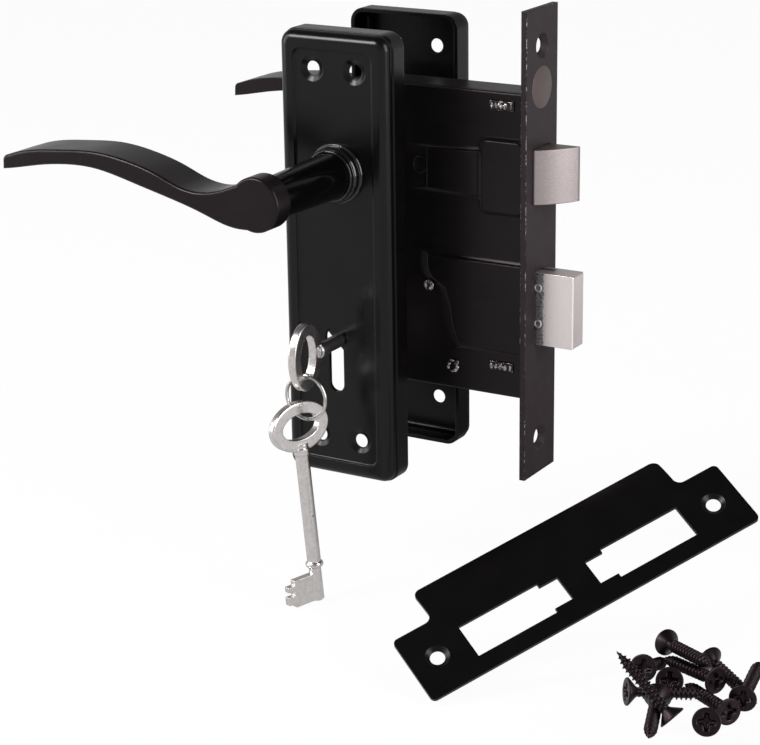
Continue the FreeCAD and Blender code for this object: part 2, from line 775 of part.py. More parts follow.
def placed(shape, placement):
    copy = shape.copy()
    copy.Placement = placement.multiply(copy.Placement)
    return copy


# Plain wire ring through the bow of the key in the lock, with its butt joint
def key_ring():
    top = key_z - bow_long + bow_rim + ring_wire_r + ring_slack
    centre = vec(key_x, bow_y, top - ring_mean_r)
    ring = Part.makeTorus(ring_mean_r, ring_wire_r, centre, vec(0, 1, 0))
    gap = 2 * ring_wire_r
    slit = box(centre.x + ring_mean_r - gap, centre.x + ring_mean_r + gap, bow_y - gap, bow_y + gap,
               centre.z - 2 * fit_gap, centre.z + 2 * fit_gap)
    return ring.cut(slit)


# Spare key hanging from the ring, its bit turned toward the viewer's left
def spare_key():
    down = vec(0.080, 0.030, -0.996).normalize()
    bit = vec(-0.355, -0.931, 0)
    bit = (bit - down * bit.dot(down)).normalize()
    up = bit * -1.0
    side = down.cross(up)
    centre = vec(key_x - spare_left, bow_y - spare_back, key_z - spare_drop)
    return placed(key_shape(), axes(side, down, up, centre))


# Strike plate in its own frame: length along X, lip along +Y, face up; then turned to its place
def strike_plate():
    half = strike_length / 2
    far = strike_high + lip_long
    bend = math.asin(lip_long / lip_bend_r)
    middle = bend / 2
    deep = lip_bend_r - strike_sheet

    def on_arc(radius, a):
        return vec(-half, strike_high + radius * math.sin(a), -lip_bend_r + radius * math.cos(a))
    top_arc = Part.Arc(on_arc(lip_bend_r, 0), on_arc(lip_bend_r, middle), on_arc(lip_bend_r, bend)).toShape()
    low_arc = Part.Arc(on_arc(deep, bend), on_arc(deep, middle), on_arc(deep, 0)).toShape()
    front_high = vec(-half, -strike_low, 0)
    front_low = vec(-half, -strike_low, -strike_sheet)
    section = Part.Wire([Part.makeLine(front_high, on_arc(lip_bend_r, 0)), top_arc,
                         Part.makeLine(on_arc(lip_bend_r, bend), on_arc(deep, bend)), low_arc,
                         Part.makeLine(on_arc(deep, 0), front_low), Part.makeLine(front_low, front_high)])
    strip_shape = Part.Face(section).extrude(vec(strike_length, 0, 0))
    plan = [(-half, -strike_low), (half, -strike_low), (half, strike_high), (lip_half, strike_high),
            (lip_half, far), (-lip_half, far), (-lip_half, strike_high), (-half, strike_high)]
    cutter = prism_z(plan, -over, over)
    lip_edges = [e for e in cutter.Edges if e.BoundBox.ZLength > over and abs(e.CenterOfMass.x) < half - skin]
    cutter = cutter.makeFillet(lip_corner_r, lip_edges)
    corners = [e for e in cutter.Edges if e.BoundBox.ZLength > over and abs(e.CenterOfMass.x) > half - skin]
    cutter = cutter.makeFillet(strike_corner_r, corners)
    plate = strip_shape.common(cutter)
    cuts = []
    for side in (-1, 1):
        x = side * strike_hole_x
        cuts.append(rod_z(x, -0.4, screw_hole_r, -over, over))
        cuts.append(Part.makeCone(screw_hole_r, screw_dish_r - free_gap, 1.0, vec(x, -0.4, -1.0 + skin),
                                  vec(0, 0, 1)))
        cuts.append(box(side * window_near, side * window_far, -window_low, window_high, -over, over))
        cuts.append(box(side * (window_near - window_notch), side * (window_near + skin),
                        -window_low + window_inset,
                        window_high - window_inset, -over, over))
    plate = plate.cut(union(cuts)).removeSplitter()
    along = vec(0.558, 0.759, 0.336).normalize()
    across = vec(-0.798, 0.379, 0.468)
    across = (across - along * across.dot(along)).normalize()
    return placed(plate, axes(along, across, along.cross(across), vec(strike_x, strike_y, strike_z)))


# Countersunk wood screw, head centre at the origin and point along -Z
def wood_screw():
    cone_end = -screw_rim - screw_cone
    rim = rod_z(0, 0, screw_head_r, -screw_rim, 0)
    cone = Part.makeCone(screw_shank_r, screw_head_r, screw_cone, vec(0, 0, cone_end), vec(0, 0, 1))
    shank = rod_z(0, 0, screw_shank_r, -screw_length + screw_point, cone_end)
    point = Part.makeCone(0.1 * screw_shank_r, screw_shank_r, screw_point, vec(0, 0, -screw_length),
                          vec(0, 0, 1))
    return union([rim, cone, shank, point])


# Screws in a loose pile as photographed: head centre, then point, in screw lengths from the pile's middle
pile = [
    ((-0.630, 0.828, 0.389), (0.208, 0.290, 0.481)),
    ((-0.016, 0.736, 0.341), (0.823, 0.228, 0.145)),
    ((0.295, 0.235, 0.324), (-0.599, 0.676, 0.247)),
    ((-0.103, -0.254, 0.430), (-0.440, 0.611, 0.057)),
    ((-0.451, -0.725, 0.410), (0.328, -0.108, 0.296)),
    ((0.291, -1.046, 0.376), (-0.440, -1.037, 1.059)),
    ((0.729, -1.093, 0.453), (0.418, -0.216, 0.085)),
    ((0.661, -0.248, 0.202), (-0.155, 0.327, 0.138)),
    ((0.766, -0.099, 0.333), (0.594, 0.885, 0.372)),
    ((-0.093, -0.610, 0.394), (0.221, -1.557, 0.325)),
    ((-0.571, 0.018, 0.382), (-0.697, 0.955, 0.054)),
]


def wood_screws():
    screws = []
    for head, point in pile:
        start = vec(pile_x, pile_y, floor_z) + vec(*head) * screw_length
        aim = vec(*point) - vec(*head)
        screw = wood_screw()
        screw.Placement = FreeCAD.Placement(start, FreeCAD.Rotation(vec(0, 0, -1), aim))
        screws.append(screw)
    return Part.makeCompound(screws)


save("forend", forend_plate())
save("case_tray", case_tray())
save("case_cap", case_cap())
save("latch_post", cheek_post(latch_post_x, latch_post_z, latch_post_r, latch_post_end_r))
save("guide_pin", cheek_post(guide_pin_x, guide_pin_z, guide_pin_r, guide_pin_r))
save("lever_pivot", cheek_post(pivot_x, pivot_z, pivot_r, pivot_r))
save("latch_head", latch_head())
save("latch_tail", latch_tail())
spring_end = latch_post_x + latch_post_r + 2 * fit_gap
save("latch_spring", plain_spring(spring_end, -latch_back - 2 * fit_gap, latch_z, latch_spring_r,
                                  latch_spring_wire))
save("follower", follower())
arm_side = key_x + arm_half_x + 4 * fit_gap
save("follower_spring", plain_spring(arm_side, return_stop_x - 2 * fit_gap, return_spring_z, return_spring_r,
                                     return_spring_wire))
save("deadbolt_head", deadbolt_head())
save("bolt_tail", bolt_tail())
save("bolt_rivets", Part.makeCompound(bolt_rivet_rods(0)))
save("stump", stump())
for number in range(lever_count):
    save("lever_" + str(number + 1), lever(number))
    save("lever_spring_" + str(number + 1), lever_spring(number))
plate = front_plate()
save("front_plate", plate)
save("rear_plate", mirrored(plate))
collar = front_collar()
save("front_collar", collar)
save("rear_collar", mirrored(collar))
handle = front_lever()
save("front_lever", handle)
save("rear_lever", mirrored(handle))
save("spindle", spindle())
save("circlips", Part.makeCompound([circlip(), mirrored(circlip())]))
save("grub_screws", Part.makeCompound([grub_screw(), mirrored(grub_screw())]))
save("key", placed(key_shape(), FreeCAD.Placement(vec(key_x, bow_y, key_z), FreeCAD.Rotation())))
save("key_ring", key_ring())
save("spare_key", spare_key())
save("strike_plate", strike_plate())
save("wood_screws", wood_screws())
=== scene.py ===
import math
import random

import bmesh
import bpy
from mathutils import Euler, Matrix, Vector


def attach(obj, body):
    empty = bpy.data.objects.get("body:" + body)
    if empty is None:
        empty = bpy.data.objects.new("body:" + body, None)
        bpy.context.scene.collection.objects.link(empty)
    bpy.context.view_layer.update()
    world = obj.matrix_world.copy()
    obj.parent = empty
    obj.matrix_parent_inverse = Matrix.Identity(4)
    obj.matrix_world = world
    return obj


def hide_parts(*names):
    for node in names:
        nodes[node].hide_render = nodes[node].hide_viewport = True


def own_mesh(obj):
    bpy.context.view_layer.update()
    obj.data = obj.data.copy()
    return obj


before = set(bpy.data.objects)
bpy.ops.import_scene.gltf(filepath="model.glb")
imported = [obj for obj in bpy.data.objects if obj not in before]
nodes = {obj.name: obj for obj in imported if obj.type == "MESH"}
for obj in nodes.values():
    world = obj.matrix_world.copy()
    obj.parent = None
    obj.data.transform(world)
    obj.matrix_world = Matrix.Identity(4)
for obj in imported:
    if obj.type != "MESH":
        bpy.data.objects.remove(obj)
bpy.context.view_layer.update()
mm = 0.001
print("frame loaded:", len(nodes), "nodes")


def hexColour(code):
    # sRGB hex to the linear colour that the shader wants
    channels = [int(code[i:i + 2], 16) / 255 for i in (1, 3, 5)]
    linear = [c / 12.92 if c <= 0.04045 else ((c + 0.055) / 1.055) ** 2.4 for c in channels]
    return (*linear, 1.0)


def addNode(tree, kind, settings=None, inputs=None):
    # an input takes a value, another node's output, or another node for its first output
    node = tree.nodes.new(kind)
    for name, value in (settings or {}).items():
        setattr(node, name, value)
    for name, value in (inputs or {}).items():
        if isinstance(value, bpy.types.Node):
            value = value.outputs[0]
        if isinstance(value, bpy.types.NodeSocket):
            tree.links.new(value, node.inputs[name])
        else:
            node.inputs[name].default_value = value
    return node


def newMaterial(name):
    material = bpy.data.materials.new(name)
    material.use_nodes = True
    tree = material.node_tree
    tree.nodes.clear()
    return material, tree, addNode(tree, "ShaderNodeTexCoord").outputs["Object"]


def grains(tree, coords, sizeMm, detail=2.0, stretch=(1, 1, 1), rough=0.5):
    # a pattern whose grains are about sizeMm wide, drawn out along an axis by stretch
    scaled = addNode(tree, "ShaderNodeMapping", inputs={"Vector": coords, "Scale": stretch})
    return addNode(tree, "ShaderNodeTexNoise", inputs={
        "Vector": scaled, "Scale": 1 / (sizeMm * mm), "Detail": detail, "Roughness": rough})


# A Mix node set to colours keeps their sockets at these places
factorIn, firstIn, secondIn, colourOut = 0, 6, 7, 2

# Rays that round an edge in the shading
edgeSamples = 6

# Materials. Grains are drawn wider than the real ones where those are too fine to show

coatSizes = {
    "mottleMm": 9.0,
    "orangePeelMm": 1.6,
    "orangePeelDeep": 0.04,
    "grainMm": 0.35,
    "grainDeep": 0.01,
    "grainShare": 0.8,
    "smoother": 0.03,
    "rougher": 0.04,
}


def powderCoat(name, dark, light, roughness, peel, edgeMm, gloss):
    # powder coat baked on pressed steel: faint orange peel, broad highlights, edges that catch light
    c = coatSizes
    material, tree, coords = newMaterial(name)
    mottle = grains(tree, coords, c["mottleMm"], 3.0)
    colour = addNode(tree, "ShaderNodeMix", {"data_type": "RGBA"}, {
        factorIn: mottle, firstIn: hexColour(dark), secondIn: hexColour(light)})
    edge = addNode(tree, "ShaderNodeBevel", {"samples": edgeSamples}, {"Radius": edgeMm * mm})
    waves = addNode(tree, "ShaderNodeBump", inputs={
        "Height": grains(tree, coords, c["orangePeelMm"], 1.0), "Strength": peel,
        "Distance": c["orangePeelDeep"] * mm, "Normal": edge})
    grain = addNode(tree, "ShaderNodeBump", inputs={
        "Height": grains(tree, coords, c["grainMm"], 1.0), "Strength": peel * c["grainShare"],
        "Distance": c["grainDeep"] * mm, "Normal": waves})
    uneven = addNode(tree, "ShaderNodeMapRange", inputs={
        "Value": mottle, "To Min": roughness - c["smoother"], "To Max": roughness + c["rougher"]})
    shader = addNode(tree, "ShaderNodeBsdfPrincipled", inputs={
        "Base Color": colour.outputs[colourOut], "Roughness": uneven, "Normal": grain, "IOR": 1.5,
        "Specular IOR Level": gloss})
    addNode(tree, "ShaderNodeOutputMaterial", inputs={"Surface": shader})
    return material


# The coats of handle, case and forend shine a little warmer than grey
mauveSheen = hexColour("#ffecf2")

handleSizes = {
    "middleY": -7.55,
    "neckHalf": 69.7,
    "neckFromX": -66.5,
    "mottleMm": 7.0,
    "grainMm": 0.45,
    "grainDeep": 0.02,
    "grainStrength": 0.16,
    "edgeMm": 0.5,
    "smoothest": 0.22,
    "roughest": 0.3,
    "neckRoughness": 0.1,
    "gloss": 0.24,
}


def handleCoatMaterial():
    # satin coat with a warm sheen on the cast blade and hub, and a polished glossy neck
    h = handleSizes
    material, tree, coords = newMaterial("handleSatinCoat")
    place = addNode(tree, "ShaderNodeSeparateXYZ", inputs={"Vector": coords}).outputs
    nearMiddle = addNode(tree, "ShaderNodeMath", {"operation": "COMPARE"}, {
        0: place["Y"], 1: h["middleY"] * mm, 2: h["neckHalf"] * mm})
    offBlade = addNode(tree, "ShaderNodeMath", {"operation": "GREATER_THAN"}, {
        0: place["X"], 1: h["neckFromX"] * mm})
    onNeck = addNode(tree, "ShaderNodeMath", {"operation": "MULTIPLY"}, {0: nearMiddle, 1: offBlade})
    mottle = grains(tree, coords, h["mottleMm"], 3.0)
    satin = addNode(tree, "ShaderNodeMix", {"data_type": "RGBA"}, {
        factorIn: mottle, firstIn: hexColour("#0a0708"), secondIn: hexColour("#110d0e")})
    colour = addNode(tree, "ShaderNodeMix", {"data_type": "RGBA"}, {
        factorIn: onNeck, firstIn: satin.outputs[colourOut], secondIn: hexColour("#050506")})
    edge = addNode(tree, "ShaderNodeBevel", {"samples": edgeSamples}, {"Radius": h["edgeMm"] * mm})
    grain = addNode(tree, "ShaderNodeBump", inputs={
        "Height": grains(tree, coords, h["grainMm"], 1.0), "Strength": h["grainStrength"],
        "Distance": h["grainDeep"] * mm, "Normal": edge})
    uneven = addNode(tree, "ShaderNodeMapRange", inputs={
        "Value": mottle, "To Min": h["smoothest"], "To Max": h["roughest"]})
    rough = addNode(tree, "ShaderNodeMix", {"data_type": "FLOAT"}, {
        "Factor": onNeck, "A": uneven, "B": h["neckRoughness"]})
    shader = addNode(tree, "ShaderNodeBsdfPrincipled", inputs={
        "Base Color": colour.outputs[colourOut], "Roughness": rough, "Normal": grain, "IOR": 1.5,
        "Specular IOR Level": h["gloss"], "Specular Tint": mauveSheen})
    addNode(tree, "ShaderNodeOutputMaterial", inputs={"Surface": shader})
    return material


pressSizes = {
    "face": -5.0,
    "postX": -39.1,
    "padX": -18.4,
    "padReach": 10.0,
    "padLow": 11.5,
    "padHigh": 35.9,
    "padRound": 2.6,
    "padHeight": 0.5,
    "padFade": 0.8,
    "bandLow": 17.2,
    "bandHigh": 30.9,
    "bandFlare": 0.05,
    "bandFade": 0.18,
    "stepTop": -5.6,
    "stepFloor": -36.3,
    "stepCurve": ((0.0, 0.52), (0.04, 0.476), (0.2, 0.388), (0.43, 0.34), (0.635, 0.264), (0.726, 0.076),
                  (0.824, 0.0), (1.0, 0.0)),
    "curveWide": 25.0,
    "stepFade": 0.45,
    "inside": -0.8,
    "outside": 1.5,
    "fieldHeight": 0.8,
}

# Distances outside a span: what each is called, its axis, and the span's two ends
pressSpans = (
    ("padAcross", "x", "padX", "padReach"),
    ("padUp", "z", "padLow", "padHigh"),
    ("bandAcross", "x", "postX", "padX"),
    ("bandUp", "z", "bandLow", "bandHigh"),
    ("stepUp", "z", "stepFloor", "stepTop"),
)

# Then the distance outside each outline, step by step: result, operation and the two parts it joins
pressSteps = (
    ("padAcross", "ADD", "padAcross", "padRound"),
    ("padAcross", "MAXIMUM", "padAcross", 0),
    ("padAcross", "MULTIPLY", "padAcross", "padAcross"),
    ("padUp", "ADD", "padUp", "padRound"),
    ("padUp", "MAXIMUM", "padUp", 0),
    ("padUp", "MULTIPLY", "padUp", "padUp"),
    ("pad", "ADD", "padAcross", "padUp"),
    ("pad", "SQRT", "pad", 0),
    ("pad", "SUBTRACT", "pad", "padRound"),
    ("bandAcross", "MULTIPLY", "bandAcross", "bandFade"),
    ("flare", "SUBTRACT", "x", "postX"),
    ("flare", "MULTIPLY", "flare", "bandFlare"),
    ("bandUp", "SUBTRACT", "bandUp", "flare"),
    ("band", "MAXIMUM", "bandAcross", "bandUp"),
    ("stepLeft", "MULTIPLY", "curve", "curveWide"),
    ("stepLeft", "ADD", "stepLeft", "postX"),
    ("stepAside", "SUBTRACT", "stepLeft", "x"),
    ("stepAside", "MULTIPLY", "stepAside", "stepFade"),
    ("step", "MAXIMUM", "stepAside", "stepUp"),
    ("field", "MINIMUM", "band", "step"),
)


def stepEdge(tree, down):
    # the step's left edge from top to bottom, as a share of curveWide
    curve = addNode(tree, "ShaderNodeFloatCurve", inputs={"Value": down})
    line = curve.mapping.curves[0]
    points = pressSizes["stepCurve"]
    line.points[0].location = points[0]
    line.points[1].location = points[-1]
    for height, offset in points[1:-1]:
        line.points.new(height, offset)
    curve.mapping.update()
    return curve


def pressedHeight(tree, coords):
    # rolled edges of the fields pressed in the sheet: distance outside each outline, as a smooth ramp
    p = pressSizes
    place = addNode(tree, "ShaderNodeSeparateXYZ", inputs={"Vector": coords}).outputs
    known = dict(p)
    for axis in "xz":
        known[axis] = addNode(tree, "ShaderNodeMath", {"operation": "DIVIDE"}, {
            0: place[axis.upper()], 1: mm})
    down = addNode(tree, "ShaderNodeMapRange", inputs={
        "Value": known["z"], "From Min": p["stepFloor"], "From Max": p["stepTop"]})
    known["curve"] = stepEdge(tree, down)
    for result, axis, low, high in pressSpans:
        under = addNode(tree, "ShaderNodeMath", {"operation": "SUBTRACT"}, {0: p[low], 1: known[axis]})
        over = addNode(tree, "ShaderNodeMath", {"operation": "SUBTRACT"}, {0: known[axis], 1: p[high]})
        known[result] = addNode(tree, "ShaderNodeMath", {"operation": "MAXIMUM"}, {0: under, 1: over})
    for result, operation, first, second in pressSteps:
        known[result] = addNode(tree, "ShaderNodeMath", {"operation": operation}, {
            0: known.get(first, first), 1: known.get(second, second)})
    heights = []
    for distance, height in (("field", p["fieldHeight"]), ("pad", p["padHeight"])):
        heights.append(addNode(tree, "ShaderNodeMapRange", {"interpolation_type": "SMOOTHSTEP"}, {
            "Value": known[distance], "From Min": p["inside"], "From Max": p["outside"],
            "To Max": -height * mm}))
    inFront = addNode(tree, "ShaderNodeMath", {"operation": "LESS_THAN"}, {0: place["Y"], 1: p["face"] * mm})
    offPad = addNode(tree, "ShaderNodeMapRange", inputs={"Value": known["pad"], "From Max": p["padFade"]})
    visible = addNode(tree, "ShaderNodeMath", {"operation": "MULTIPLY"}, {0: heights[0], 1: inFront})
    besidePad = addNode(tree, "ShaderNodeMath", {"operation": "MULTIPLY"}, {0: visible, 1: offPad})
    return addNode(tree, "ShaderNodeMath", {"operation": "ADD"}, {0: besidePad, 1: heights[1]})


paintSizes = {
    "marksMm": 3.0,
    "marksStretch": (0.25, 1, 1),
    "marksStrength": 0.5,
    "marksDeep": 0.07,
    "blotchMm": 14.0,
    "edgeMm": 0.5,
    "smoothest": 0.28,
    "roughest": 0.42,
    "gloss": 0.24,
}


def casePaint():
    # thin black paint over pressed sheet: rolled edges, rolling marks along the sheet, small duller blotches
    p = paintSizes
    material, tree, coords = newMaterial("caseBlackPaint")
    marks = grains(tree, coords, p["marksMm"], 3.0, p["marksStretch"])
    colour = addNode(tree, "ShaderNodeMix", {"data_type": "RGBA"}, {
        factorIn: marks, firstIn: hexColour("#060606"), secondIn: hexColour("#121011")})
    edge = addNode(tree, "ShaderNodeBevel", {"samples": edgeSamples}, {"Radius": p["edgeMm"] * mm})
    rolled = addNode(tree, "ShaderNodeBump", inputs={
        "Height": pressedHeight(tree, coords), "Strength": 1.0, "Distance": 1.0, "Normal": edge})
    marked = addNode(tree, "ShaderNodeBump", inputs={
        "Height": marks, "Strength": p["marksStrength"], "Distance": p["marksDeep"] * mm, "Normal": rolled})
    uneven = addNode(tree, "ShaderNodeMapRange", inputs={
        "Value": grains(tree, coords, p["blotchMm"]), "To Min": p["smoothest"], "To Max": p["roughest"]})
    shader = addNode(tree, "ShaderNodeBsdfPrincipled", inputs={
        "Base Color": colour.outputs[colourOut], "Roughness": uneven, "Normal": marked, "IOR": 1.5,
        "Specular IOR Level": p["gloss"], "Specular Tint": mauveSheen})
    addNode(tree, "ShaderNodeOutputMaterial", inputs={"Surface": shader})
    return material


forendSizes = {
    "mottleMm": 5.0,
    "grainMm": 0.4,
    "grainStrength": 0.25,
    "grainDeep": 0.03,
    "edgeMm": 0.5,
    "edgeSamples": 8,
    "edgeBend": (0.975, 0.86),
    "clusterMm": 7.0,
    "clusterFrom": (0.42, 0.5),
    "chipMm": 1.3,
    "chipFrom": (0.5, 0.55),
    "roughness": 0.42,
    "gloss": 0.1,
    "steelRoughness": 0.35,
}


def forendCoat():
    # charcoal powder coat whose sharp edges are chipped to bright steel in small dots
    f = forendSizes
    material, tree, coords = newMaterial("forendCharcoalCoat")
    colour = addNode(tree, "ShaderNodeMix", {"data_type": "RGBA"}, {
        factorIn: grains(tree, coords, f["mottleMm"], 3.0), firstIn: hexColour("#251f21"),
        secondIn: hexColour("#302a2c")})
    edge = addNode(tree, "ShaderNodeBevel", {"samples": f["edgeSamples"]}, {"Radius": f["edgeMm"] * mm})
    plain = addNode(tree, "ShaderNodeNewGeometry").outputs["Normal"]
    bend = addNode(tree, "ShaderNodeVectorMath", {"operation": "DOT_PRODUCT"}, {0: edge, 1: plain})
    clusters = grains(tree, coords, f["clusterMm"])
    chips = grains(tree, coords, f["chipMm"], 4.0, rough=0.7)
    worn = 1.0
    for pattern, (none, full) in ((bend.outputs["Value"], f["edgeBend"]), (clusters, f["clusterFrom"]),
                                  (chips, f["chipFrom"])):
        share = addNode(tree, "ShaderNodeMapRange", inputs={
            "Value": pattern, "From Min": none, "From Max": full})
        worn = addNode(tree, "ShaderNodeMath", {"operation": "MULTIPLY"}, {0: worn, 1: share})
    grain = addNode(tree, "ShaderNodeBump", inputs={
        "Height": grains(tree, coords, f["grainMm"], 1.0), "Strength": f["grainStrength"],
        "Distance": f["grainDeep"] * mm, "Normal": edge})
    coat = addNode(tree, "ShaderNodeBsdfPrincipled", inputs={
        "Base Color": colour.outputs[colourOut], "Roughness": f["roughness"], "Normal": grain, "IOR": 1.5,
        "Specular IOR Level": f["gloss"], "Specular Tint": mauveSheen})
    steel = addNode(tree, "ShaderNodeBsdfPrincipled", inputs={
        "Base Color": hexColour("#b9b4ac"), "Metallic": 1.0, "Roughness": f["steelRoughness"],
        "Normal": edge})
    chipped = addNode(tree, "ShaderNodeMixShader", inputs={"Fac": worn, 1: coat, 2: steel})
    addNode(tree, "ShaderNodeOutputMaterial", inputs={"Surface": chipped})
    return material


metalSizes = {
    "grainDeep": 0.05,
    "cloudMm": 4.0,
    "smoother": 0.05,
    "rougher": 0.07,
    "speckCover": 0.8,
    "speckFade": 0.1,
}


def metal(name, dark, light, roughness, grainMm, bump, stretch=(1, 1, 1), edgeMm=0.2, specks=None):
    # a bare or plated metal: drawn or cast grain, uneven gloss and, where given, dark specks by their
    # width, their colour and the height of the pattern at which they start
    m = metalSizes
    material, tree, coords = newMaterial(name)
    grain = grains(tree, coords, grainMm, 3.0, stretch, 0.6)
    colour = addNode(tree, "ShaderNodeMix", {"data_type": "RGBA"}, {
        factorIn: grain, firstIn: hexColour(dark), secondIn: hexColour(light)})
    if specks:
        speckMm, speckColour, speckFrom = specks
        spots = addNode(tree, "ShaderNodeMapRange", inputs={
            "Value": grains(tree, coords, speckMm, 3.0, rough=0.7), "From Min": speckFrom,
            "From Max": speckFrom + m["speckFade"], "To Max": m["speckCover"]})
        colour = addNode(tree, "ShaderNodeMix", {"data_type": "RGBA"}, {
            factorIn: spots, firstIn: colour.outputs[colourOut], secondIn: hexColour(speckColour)})
    edge = addNode(tree, "ShaderNodeBevel", {"samples": edgeSamples}, {"Radius": edgeMm * mm})
    normal = addNode(tree, "ShaderNodeBump", inputs={
        "Height": grain, "Strength": bump, "Distance": m["grainDeep"] * mm, "Normal": edge})
    uneven = addNode(tree, "ShaderNodeMapRange", inputs={
        "Value": grains(tree, coords, m["cloudMm"]), "To Min": roughness - m["smoother"],
        "To Max": roughness + m["rougher"]})
    shader = addNode(tree, "ShaderNodeBsdfPrincipled", inputs={
        "Base Color": colour.outputs[colourOut], "Metallic": 1.0, "Roughness": uneven, "Normal": normal})
    addNode(tree, "ShaderNodeOutputMaterial", inputs={"Surface": shader})
    return material


# smooth black coat that mirrors the window softly on the front plate; the rear plate has a darker, duller
# copy of the same coat, painted shade for its side away from the light
plateCoat = powderCoat("plateBlackPowderCoat", "#050405", "#090708", 0.22, peel=0.2, edgeMm=0.45, gloss=0.26)
rearCoatPaintedShade = powderCoat("rearPlatePaintedShadeCoat", "#030203", "#060505", 0.26, peel=0.2, edgeMm=0.45, gloss=0.16)
handleCoat = handleCoatMaterial()
# wet-looking enamel: thin bright lines on the collars' steps
collarGloss = powderCoat("collarGlossEnamel", "#080607", "#0d0b0c", 0.14, peel=0.08, edgeMm=0.35, gloss=0.55)
# flat black coat with hardly a highlight
strikeCoat = powderCoat("strikeBlackPowderCoat", "#030203", "#070506", 0.3, peel=0.2, edgeMm=0.25, gloss=0.22)
casePaintBlack = casePaint()
forendCharcoal = forendCoat()
# zinc plate, milled upright: pale and satin with a few dull spots; the cast latch has a darker copy, painted
# shade that tones down the lamp it catches
boltZinc = metal("boltSatinZinc", "#d9cfce", "#fdf6f5", 0.42, grainMm=0.8, bump=0.5, stretch=(1, 1, 5),
                 edgeMm=0.25, specks=(1.1, "#948b89", 0.66))
latchZincPaintedShade = metal("latchPaintedShadeZinc", "#877d7e", "#bab0b0", 0.44, grainMm=0.9, bump=0.5, stretch=(1, 1, 4),
                  edgeMm=0.4, specks=(1.3, "#716969", 0.66))
# rough cast skin, pitted dark
boltRough = metal("boltRoughEdge", "#6d6c70", "#cfcbcc", 0.46, grainMm=0.6, bump=1.0, edgeMm=0.1,
                  specks=(0.8, "#33343a", 0.5))
# metals inside the case: zinc-plated sheet, oiled spring wire and stamped brass with its rolling grain
plainSteel = metal("plainZincSteel", "#7c7c7d", "#a3a3a4", 0.4, grainMm=0.8, bump=0.2, stretch=(1, 1, 4))
springSteel = metal("oiledSpringSteel", "#3c3b3c", "#5a595a", 0.35, grainMm=0.6, bump=0.1)
leverBrass = metal("stampedBrass", "#9a7a3c", "#c09a55", 0.35, grainMm=0.6, bump=0.2, stretch=(6, 1, 1))
# die-cast key under nickel: soft edges, grey spots and sharp small highlights
keyNickel = metal("castNickelKey", "#c0bbba", "#ebe6e4", 0.24, grainMm=1.4, bump=0.5, edgeMm=0.5,
                  specks=(1.8, "#6a6663", 0.64))
# drawn wire, brighter and smoother than the keys
ringNickel = metal("drawnNickelWire", "#b4b2af", "#dedcd8", 0.18, grainMm=0.8, bump=0.1, edgeMm=0.1)
# black phosphate on steel: brownish black with a metal sheen on threads and rims
screwBlack = metal("blackPhosphateScrew", "#1f181b", "#3b3236", 0.4, grainMm=0.7, bump=0.25, edgeMm=0.1)
# turned disc, brushed across
discPlain = metal("brushedGreyDisc", "#5d5352", "#7b6e6d", 0.42, grainMm=0.5, bump=0.2, stretch=(1, 8, 1),
                  edgeMm=0.1)
# steel torn bright by the punch, black paint left in its hollows
stakedSteel = metal("stakedBareSteel", "#8f8b8a", "#d4cdcb", 0.3, grainMm=0.5, bump=1.0, edgeMm=0.15,
                    specks=(0.8, "#151314", 0.48))

finishOf = {
    "forend": forendCharcoal, "case_tray": casePaintBlack, "case_cap": casePaintBlack,
    "latch_post": casePaintBlack, "guide_pin": casePaintBlack, "lever_pivot": casePaintBlack,
    "latch_head": latchZincPaintedShade, "deadbolt_head": boltZinc, "bolt_rivets": boltZinc, "bolt_tail": plainSteel,
    "latch_tail": plainSteel, "latch_spring": springSteel, "follower": plainSteel,
    "follower_spring": springSteel, "stump": plainSteel, "lever_1": leverBrass, "lever_2": leverBrass,
    "lever_3": leverBrass, "lever_spring_1": springSteel, "lever_spring_2": springSteel,
    "lever_spring_3": springSteel, "front_plate": plateCoat, "rear_plate": rearCoatPaintedShade,
    "front_collar": collarGloss, "rear_collar": collarGloss, "front_lever": handleCoat,
    "rear_lever": handleCoat, "spindle": plainSteel, "circlips": springSteel, "grub_screws": screwBlack,
    "key": keyNickel, "spare_key": keyNickel, "key_ring": ringNickel, "strike_plate": strikeCoat,
    "wood_screws": screwBlack,
}
for name, material in finishOf.items():
    mesh = nodes[name].data
    mesh.materials.clear()
    mesh.materials.append(material)
print("materials set")


# Edges that turn by more than this stay sharp
creaseDegrees = 35


def cleanMesh(name, vertices, faces, merge=True):
    # a mesh with smooth faces that all point outwards
    mesh = bpy.data.meshes.new(name)
    mesh.from_pydata(vertices, [], faces)
    work = bmesh.new()
    work.from_mesh(mesh)
    if merge:
        bmesh.ops.remove_doubles(work, verts=work.verts, dist=1e-7)
    bmesh.ops.recalc_face_normals(work, faces=work.faces)
    work.to_mesh(mesh)
    work.free()
    for face in mesh.polygons:
        face.use_smooth = True
    return mesh


def placed(name, mesh, body):
    piece = bpy.data.objects.new(name, mesh)
    bpy.context.scene.collection.objects.link(piece)
    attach(piece, body)
    return piece


def meshPiece(name, vertices, faces, material, body):
    mesh = cleanMesh(name, vertices, faces)
    mesh.set_sharp_from_angle(angle=math.radians(creaseDegrees))
    mesh.materials.append(material)
    return placed(name, mesh, body)


def revolved(name, profile, centre, outward, material, body, around=48):
    # profile is radius and height above the centre, turned about the outward direction
    normal = Vector(outward)
    first = normal.orthogonal().normalized()
    second = normal.cross(first)
    vertices = []
    faces = []
    for radius, height in profile:
        for k in range(around):
            angle = 2 * math.pi * k / around
            side = first * (radius * math.cos(angle)) + second * (radius * math.sin(angle))
            vertices.append(tuple((Vector(centre) + normal * height + side) * mm))
    for i in range(len(profile) - 1):
        for k in range(around):
            n = (k + 1) % around
            faces.append((i * around + k, i * around + n, (i + 1) * around + n, (i + 1) * around + k))
    return meshPiece(name, vertices, faces, material, body)


# Node trees that put a shape on loose points

